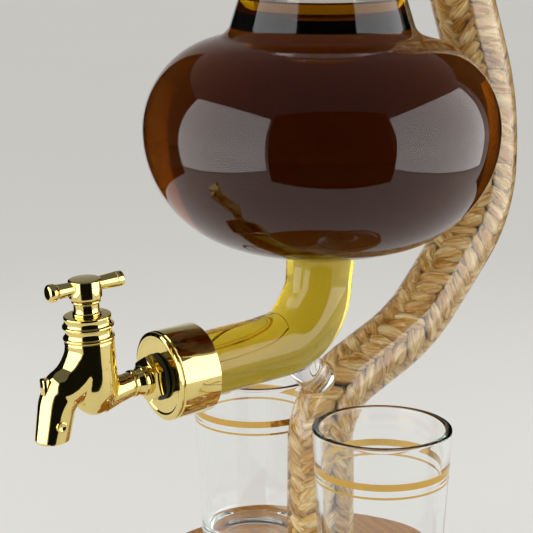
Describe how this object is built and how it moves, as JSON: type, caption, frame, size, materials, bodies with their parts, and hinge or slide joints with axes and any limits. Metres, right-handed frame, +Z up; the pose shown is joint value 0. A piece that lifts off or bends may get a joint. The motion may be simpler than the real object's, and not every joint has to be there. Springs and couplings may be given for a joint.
{
  "type": "cocktail dispenser",
  "caption": "Glass globe drink dispenser on a round wooden base, with a plait-filled glass stand tube, a tap with a cross handle and shot glasses.",
  "frame": {"origin": "centre of the felt face under the round base", "axes": "+Z up; the tap points along -X; the stand tube leaves the base's centre and wraps the globe on the +X side"},
  "size_m": [0.2078, 0.144, 0.2963],
  "materials": {
    "clear_glass": "clear blown borosilicate glass",
    "banded_glass": "clear pressed glass with fired gold bands",
    "gold_plating": "polished gold-coloured plating",
    "plain_brass": "turned brass",
    "turned_wood": "oiled turned hardwood",
    "cork": "natural cork",
    "plait_fibre": "plaited natural fibre",
    "rubber": "black rubber",
    "silicone": "translucent white silicone",
    "felt": "pressed wool felt"
  },
  "bodies": {
    "stand": {"base_felt": "felt", "wooden_base": "turned_wood", "tube_seat_bush": "rubber", "foot_plug": "rubber", "stand_tube": "clear_glass", "braided_plait": "plait_fibre", "glass_globe": "clear_glass", "glass_neck": "clear_glass", "outlet_elbow": "clear_glass", "lower_stub": "clear_glass", "upper_stub": "clear_glass", "gold_collar": "gold_plating", "collar_gasket": "silicone", "outlet_bung": "rubber", "face_washer": "rubber", "lock_nut": "gold_plating", "backing_nut": "plain_brass", "tap_body": "gold_plating", "tap_bonnet": "gold_plating", "stem_seal": "rubber", "packing_gland": "gold_plating"},
    "tap_handle": {"valve_plug": "plain_brass", "plug_seals": "rubber", "valve_stem": "plain_brass", "handle_hub": "gold_plating", "handle_bar": "gold_plating", "bar_cap_front": "gold_plating", "bar_cap_rear": "gold_plating"},
    "front_glass": {"front_shot_glass": "banded_glass"},
    "rear_glass": {"rear_shot_glass": "banded_glass"},
    "stopper": {"stopper_cork": "cork", "stopper_cap": "turned_wood"}
  },
  "joints": [
    {"name": "handle_turn", "type": "hinge", "parent": "stand", "child": "tap_handle", "pos_m": [-0.09562, 0, 0.11145], "axis": [-0.061, 0, 0.9981], "range_deg": [0, 90]},
    {"name": "front_glass_lift", "type": "slide", "parent": "stand", "child": "front_glass", "axis": [0, 0, 1], "range_m": [0, 0.05]},
    {"name": "rear_glass_lift", "type": "slide", "parent": "stand", "child": "rear_glass", "axis": [0, 0, 1], "range_m": [0, 0.05]},
    {"name": "stopper_lift", "type": "slide", "parent": "stand", "child": "stopper", "axis": [0, 0, 1], "range_m": [0, 0.06]}
  ]
}
